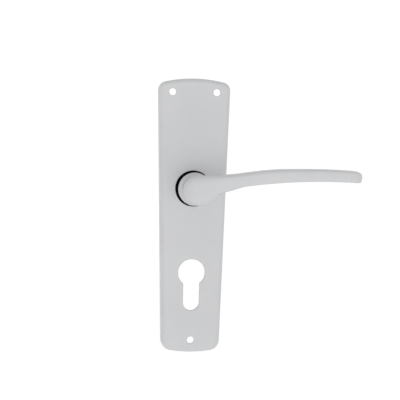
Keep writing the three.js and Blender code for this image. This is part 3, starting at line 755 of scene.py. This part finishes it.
def spline(points, steps=16):
    """A smooth line through (radius, rise) points."""
    out = []
    ends = [[2 * a - b for a, b in zip(points[0], points[1])], *points,
            [2 * a - b for a, b in zip(points[-1], points[-2])]]
    for corners in zip(ends, ends[1:], ends[2:], ends[3:]):
        for i in range(steps):
            t = i / steps
            out.append(tuple(
                0.5 * (2 * q + (r - p) * t + (2 * p - 5 * q + 4 * r - s) * t * t
                       + (3 * q - p - 3 * r + s) * t ** 3)
                for p, q, r, s in zip(*corners)))
    return out + [tuple(points[-1])]


neck_line = spline([
    (collar_r - 1.03, collar_back), (collar_r - 0.65, face + 4.9), (collar_r, face + 9.8),
    (collar_r - 0.5, face + 13.23), (waist_r + 0.45, face + 15.2), (waist_r, face + 19),
    (waist_r, face + 27.5), (head_r - 0.35, face + 30)])
neck = lofted("neck", circle(0, sides=128), neck_line, handled_lacquer)
worked(lever, "UNION", neck)
even = lever.modifiers.new("even", "REMESH")
even.mode = "VOXEL"
even.voxel_size = 0.00036  # metres
even.use_smooth_shade = True
evaluated(lever)
lever.data.materials.clear()
lever.data.materials.append(handled_lacquer)
root_r, root_back, root_reach, least_easing = 9.2, 12.6, 4.2, 0.06
blend_zone = lever.vertex_groups.new(name="root_of_the_arm")
for vertex in lever.data.vertices:
    x, rise_here, z = 1000 * vertex.co.x, -1000 * vertex.co.y, 1000 * vertex.co.z
    away = math.hypot(math.hypot(x, z) - root_r, 0.7 * (rise_here - (arm_face - root_back)))
    weight = max(least_easing, 1 - (away / root_reach) ** 2) if rise_here > face + 1 else 0
    blend_zone.add([vertex.index], weight, "REPLACE")
ease = lever.modifiers.new("ease", "SMOOTH")
ease.vertex_group = blend_zone.name
ease.factor = 0.5
ease.iterations = 40
evaluated(lever)
lever.vertex_groups.clear()

ring_back, ring_front, ring_groove_r, groove_play, end_chamfer = 0.8, 1.7, 9.0, 0.05, 0.3
support_back = ring_front + groove_play
groove_depth = ring_groove_r - neck_r
journal = [(-end_chamfer, neck_end), (0, neck_end + end_chamfer), (0, ring_back - groove_play),
           (groove_depth, ring_back - groove_play), (groove_depth, support_back),
           (0, support_back), (0, collar_back + 1)]
worked(lever, "UNION", lofted("journal", circle(neck_r, sides=128), journal, handled_lacquer))
flat_half, driver_front = 8.5, 3.2
socket_half, socket_end, grub_rise, grub_r = 4.1, 32.0, 27.5, 2.4


def across_bar(name, radius, low, high, material, sides=48):
    """A round bar up the neck at the grub screw's place, between two heights, wider at its mouth."""
    points = []
    for z, r in ((low - 1, radius + 1.35), (low + 0.35, radius), (high, radius)):
        points += [(r * math.cos(t), grub_rise + r * math.sin(t), z)
                   for t in (2 * math.pi * i / sides for i in range(sides))]
    faces = [tuple(range(sides)), tuple(range(2 * sides, 3 * sides))]
    faces += [(k + i, k + (i + 1) % sides, k + sides + (i + 1) % sides, k + sides + i)
              for k in (0, sides) for i in range(sides)]
    return piece_from(name, points, faces, material)


worked(
    lever, "DIFFERENCE",
    block("socket", (-socket_half, -1, -socket_half), (socket_half, socket_end, socket_half), raw_casting),
    block("flat_left", (-12, -1, -12), (-flat_half, driver_front + 0.05, 12), raw_casting),
    block("flat_right", (flat_half, -1, -12), (12, driver_front + 0.05, 12), raw_casting),
    across_bar("grub_hole", grub_r + 0.1, -waist_r, 0, raw_casting),
)
smoothed(lever, 38)
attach(lever, "lever")
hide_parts("lever")

# ---------------------------------------------------------------- driver, support washer and ring
# A zinc-plated stamping keyed on the neck's flats pushes the spring with a bent tab and stops the
# lever with an ear. A plain washer and a black circlip behind it hold the stack on the neck.
bright_zinc = finish("plated_stamping", (0.62, 0.64, 0.66), 0.3, 1.0)
spangle = grain(bright_zinc, 2.2, 4, distortion=0.6)
tinted(bright_zinc, spangle, (0.3, (0.50, 0.52, 0.55)), (0.5, (0.62, 0.64, 0.66)), (0.72, (0.74, 0.75, 0.76)))
roughened(bright_zinc, grain(bright_zinc, 1.0, 3), 0.24, 0.44)
raised(bright_zinc, (grain(bright_zinc, 0.5, 2), 0.004), (grain(bright_zinc, 8, 1), 0.02))

driver_back, driver_r, ear_r, tab_front = 2.2, 14.0, 17.53, 5.1
tab_from, tab_inner, disc_overlap, key_play = 40 + 3.55, 12.25, 12, 0.12


def soft_edges(low, high, soft=0.15):
    """The profile of a flat stamping with eased edges."""
    return [(-soft, low), (-soft * 0.3, low + soft * 0.3), (0, low + soft), (0, high - soft),
            (-soft * 0.3, high - soft * 0.3), (-soft, high)]


flat_profile, tab_profile = soft_edges(driver_back, driver_front), soft_edges(driver_back, tab_front)
ear_outline = sector_outline(disc_overlap, ear_r, 243, 257)
tab_root_outline = sector_outline(disc_overlap, leg_reach, tab_from, tab_from + 9)
tab_outline = sector_outline(tab_inner, leg_reach, tab_from, tab_from + 4.5)
driver = lofted("spring_driver_stamping", circle(driver_r, sides=144), flat_profile, bright_zinc)
worked(
    driver, "UNION",
    lofted("ear", ear_outline, flat_profile, bright_zinc),
    lofted("arm_of_tab", tab_root_outline, flat_profile, bright_zinc),
    lofted("tab", tab_outline, tab_profile, bright_zinc),
)
key_half = flat_half + key_play
key = lofted("key", circle(neck_r + key_play, sides=128), [(0, 0), (0, 9)], bright_zinc)
worked(key, "INTERSECT", block("flats", (-key_half, 0.5, -12), (key_half, 8, 12), bright_zinc))
worked(driver, "DIFFERENCE", key)
smoothed(driver)
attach(driver, "lever")
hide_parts("spring_driver")

_, support_r, support_low, support_high, _, _ = extent("support_washer")
support = turned("support_washer_ring", [
    (bore_r, support_low), (support_r, support_low), (support_r, support_high), (bore_r, support_high)],
    bright_zinc, soft=0.08)
smoothed(support)
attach(support, "lever")
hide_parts("support_washer")

black_steel = finish("phosphated_steel", (0.035, 0.036, 0.038), 0.42, 0.7)
crust = grain(black_steel, 0.6, 4)
tinted(black_steel, crust, (0.3, (0.022, 0.023, 0.025)), (0.7, (0.06, 0.062, 0.065)))
roughened(black_steel, grain(black_steel, 1.6, 3), 0.34, 0.56)
raised(black_steel, (crust, 0.006))

_, _, ring_low, ring_high, _, _ = extent("retaining_ring")
clip_bore, clip_radial, clip_lift, lug_r, lug_cut, plier_r = 9.05, 3.0, 0.75, 2.15, 1.3, 0.75
lug_turn = math.radians(68)
lug_x = (clip_bore + lug_r) * math.cos(lug_turn)
lug_z = -(clip_bore + lug_r) * math.sin(lug_turn)
clip_profile, right_through = soft_edges(ring_low, ring_high, 0.1), [(0, 0), (0, 3)]
clip_outline = circle(clip_bore + clip_radial - clip_lift, 0, clip_lift, 144)
clip = lofted("retaining_ring_clip", clip_outline, clip_profile, black_steel)
for side in (-1, 1):
    lug = lofted("lug", circle(lug_r, side * lug_x, lug_z, 64), clip_profile, black_steel)
    worked(clip, "UNION", lug)
worked(
    clip, "DIFFERENCE",
    lofted("bore", circle(clip_bore, sides=144), right_through, black_steel),
    block("gap", (lug_cut - lug_x, 0, -20), (lug_x - lug_cut, 3, 0), black_steel),
)
for side in (-1, 1):
    plier_hole = lofted("plier_hole", circle(plier_r, side * lug_x, lug_z, 32), right_through, black_steel)
    worked(clip, "DIFFERENCE", plier_hole)
smoothed(clip)
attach(clip, "lever")
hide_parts("retaining_ring")

# ---------------------------------------------------------------- spindle and grub screw
# The square bar that turns the lock's follower is drawn steel, zinc plated, with eased corners. A
# black socket-head grub screw up through the neck clamps it.
plated_bar = finish("plated_bar", (0.60, 0.62, 0.64), 0.34, 1.0)
draw_lines = grain(plated_bar, 0.35, 3, stretch=(1, 60, 1))
tinted(plated_bar, draw_lines * 0.6 + grain(plated_bar, 4, 3) * 0.4,
       (0.34, (0.46, 0.48, 0.50)), (0.5, (0.60, 0.62, 0.64)), (0.66, (0.70, 0.71, 0.73)))
roughened(plated_bar, grain(plated_bar, 1.5, 3, stretch=(1, 10, 1)), 0.26, 0.46)
raised(plated_bar, (draw_lines, 0.004), (grain(plated_bar, 6, 2), 0.015))


def rounded_square(half, corner):
    """An outline that grows: a square with rounded corners."""
    def outline(growth):
        side, loop = half + growth, []
        for quadrant in range(4):
            for i in range(7):
                t = math.radians(90 * quadrant + 15 * i)
                cx = (side - corner) * (1 if quadrant in (0, 3) else -1)
                cz = (side - corner) * (1 if quadrant in (0, 1) else -1)
                loop.append((cx + corner * math.cos(t), cz + corner * math.sin(t)))
        return loop
    return outline


_, spindle_half, spindle_out, spindle_in, _, _ = extent("spindle")
bevel, bevel_ease, bar_corner = 0.8, 0.08, 0.45
bar_profile = [(-bevel, spindle_out), (-bevel_ease, spindle_out + bevel - bevel_ease),
               (0, spindle_out + bevel + 0.1), (0, spindle_in - bevel - 0.1),
               (-bevel_ease, spindle_in - bevel + bevel_ease), (-bevel, spindle_in)]
bar = lofted("spindle_bar", rounded_square(spindle_half, bar_corner), bar_profile, plated_bar)
smoothed(bar)
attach(bar, "lever")
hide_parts("spindle")

_, _, _, _, grub_low, grub_high = extent("grub_screw")
thread_pitch, thread_depth, thread_sides, thread_rows, end_bevel = 0.8, 0.3, 64, 90, 0.35
grub_points, grub_faces = [], []
for row in range(thread_rows + 1):
    z = grub_low + (grub_high - grub_low) * row / thread_rows
    ends = min(row, thread_rows - row) / thread_rows * (grub_high - grub_low)
    for i in range(thread_sides):
        turn = i / thread_sides
        phase = (z / thread_pitch - turn) % 1
        crest = abs(2 * phase - 1)
        radius = grub_r - thread_depth * (1 - crest) - max(0, end_bevel - ends)
        grub_points.append((
            radius * math.cos(2 * math.pi * turn), grub_rise + radius * math.sin(2 * math.pi * turn), z))
for k in range(0, thread_rows * thread_sides, thread_sides):
    for i in range(thread_sides):
        j = (i + 1) % thread_sides
        grub_faces.append((k + i, k + j, k + thread_sides + j, k + thread_sides + i))
last_row = thread_rows * thread_sides
grub_faces += [tuple(range(thread_sides)), tuple(range(last_row, last_row + thread_sides))]
grub = piece_from("grub_screw_turned", grub_points, grub_faces, black_steel)
hex_width = 2.5
hex_r = hex_width / math.sqrt(3)
hexagon = [(hex_r * math.cos(math.radians(60 * i)), hex_r * math.sin(math.radians(60 * i))) for i in range(6)]
key_points = [(x, grub_rise + y, z) for z in (grub_low - 1, (grub_low + grub_high) / 2) for x, y in hexagon]
key_faces = [tuple(range(6)), tuple(range(6, 12))]
key_faces += [(i, (i + 1) % 6, 6 + (i + 1) % 6, 6 + i) for i in range(6)]
worked(grub, "DIFFERENCE", piece_from("hex_key", key_points, key_faces, black_steel))
smoothed(grub)
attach(grub, "lever")
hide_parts("grub_screw")

# ---------------------------------------------------------------- studio
# A white room: a pale floor well below, white walls all round that are brighter behind the object,
# and one wide soft light in front of it.
world = bpy.data.worlds.new("white_room")
bpy.context.scene.world = world
world.use_nodes = True
room = world.node_tree
facing = Rule(room, room.nodes.new("ShaderNodeTexCoord").outputs["Generated"])
split = facing.fed("ShaderNodeSeparateXYZ", {"Vector": facing}).socket.node
towards_door = Rule(room, split.outputs["Y"])
front_wall, side_wall, back_wall = 0.6, 0.52, 1.04
walls = facing.fed("ShaderNodeValToRGB", {"Fac": towards_door * 0.5 + 0.5}).socket.node
stops = [(0.26, front_wall), (0.42, side_wall), (0.6, side_wall), (0.72, back_wall)]
while len(walls.color_ramp.elements) < len(stops):
    walls.color_ramp.elements.new(0.5)
for element, (position, brightness) in zip(walls.color_ramp.elements, stops):
    element.position = position
    element.color = (brightness, brightness, brightness, 1)
room.links.new(walls.outputs["Color"], room.nodes["Background"].inputs["Color"])
room.nodes["Background"].inputs["Strength"].default_value = 1

floor_paint = finish("floor_paint", (0.97, 0.97, 0.97), 0.8)
floor_shader = floor_paint.node_tree.nodes["Principled BSDF"]
floor_shader.inputs["Emission Color"].default_value = (1, 1, 1, 1)
floor_shader.inputs["Emission Strength"].default_value = 0.31
paint_tree = floor_paint.node_tree
floor_place = Rule(paint_tree, paint_tree.nodes.new("ShaderNodeTexCoord").outputs["Object"])
floor_length = floor_place.fed("ShaderNodeVectorMath", {0: floor_place}, operation="LENGTH")
floor_away = Rule(paint_tree, floor_length.socket.node.outputs["Value"])
fade_from, fade_over = 0.9, 1.1
floor_fade = ((floor_away - fade_from) / fade_over).kept(0, 1)
tinted(floor_paint, floor_fade, (0, (0.6, 0.6, 0.6)), (1, (0.98, 0.98, 0.98)))
floor_z, floor_half = -600, 6000
floor = piece_from("floor", [(-floor_half, -floor_half, floor_z), (floor_half, -floor_half, floor_z),
                             (floor_half, floor_half, floor_z), (-floor_half, floor_half, floor_z)],
                   [(3, 2, 1, 0)], floor_paint, tidy=False)

softbox = bpy.data.lights.new("front_softbox", "AREA")
softbox.shape = "SQUARE"
softbox.size = 0.7
softbox.energy = 3.0
front_light = bpy.data.objects.new("front_softbox", softbox)
bpy.context.scene.collection.objects.link(front_light)
stand = Vector((0.08, -1.5, -0.12))
front_light.matrix_world = Matrix.Translation(stand) @ stand.to_track_quat("Z", "Y").to_matrix().to_4x4()

azimuth, elevation, tilt = math.radians(-6.5), math.radians(2.909), math.radians(1.098)
flat = math.cos(elevation)
back = Vector((math.sin(azimuth) * flat, -math.cos(azimuth) * flat, math.sin(elevation)))
level = Vector((math.cos(azimuth), math.sin(azimuth), 0))
upright = back.cross(level)
across = level * math.cos(tilt) + upright * math.sin(tilt)
above = upright * math.cos(tilt) - level * math.sin(tilt)
aim_nudge, distance = 0.0003256, 0.76
aim = Vector((0.00502, -0.009, -0.007799)) + aim_nudge * (above - across)
camera = bpy.data.cameras.new("camera")
camera.lens = 105.037
camera.sensor_width = 36
stood = bpy.data.objects.new("camera", camera)
bpy.context.scene.collection.objects.link(stood)
facing_it = Matrix((across, above, back)).transposed().to_4x4()
stood.matrix_world = Matrix.Translation(aim + distance * back) @ facing_it
bpy.context.scene.camera = stood
bpy.context.scene.view_settings.view_transform = "Standard"
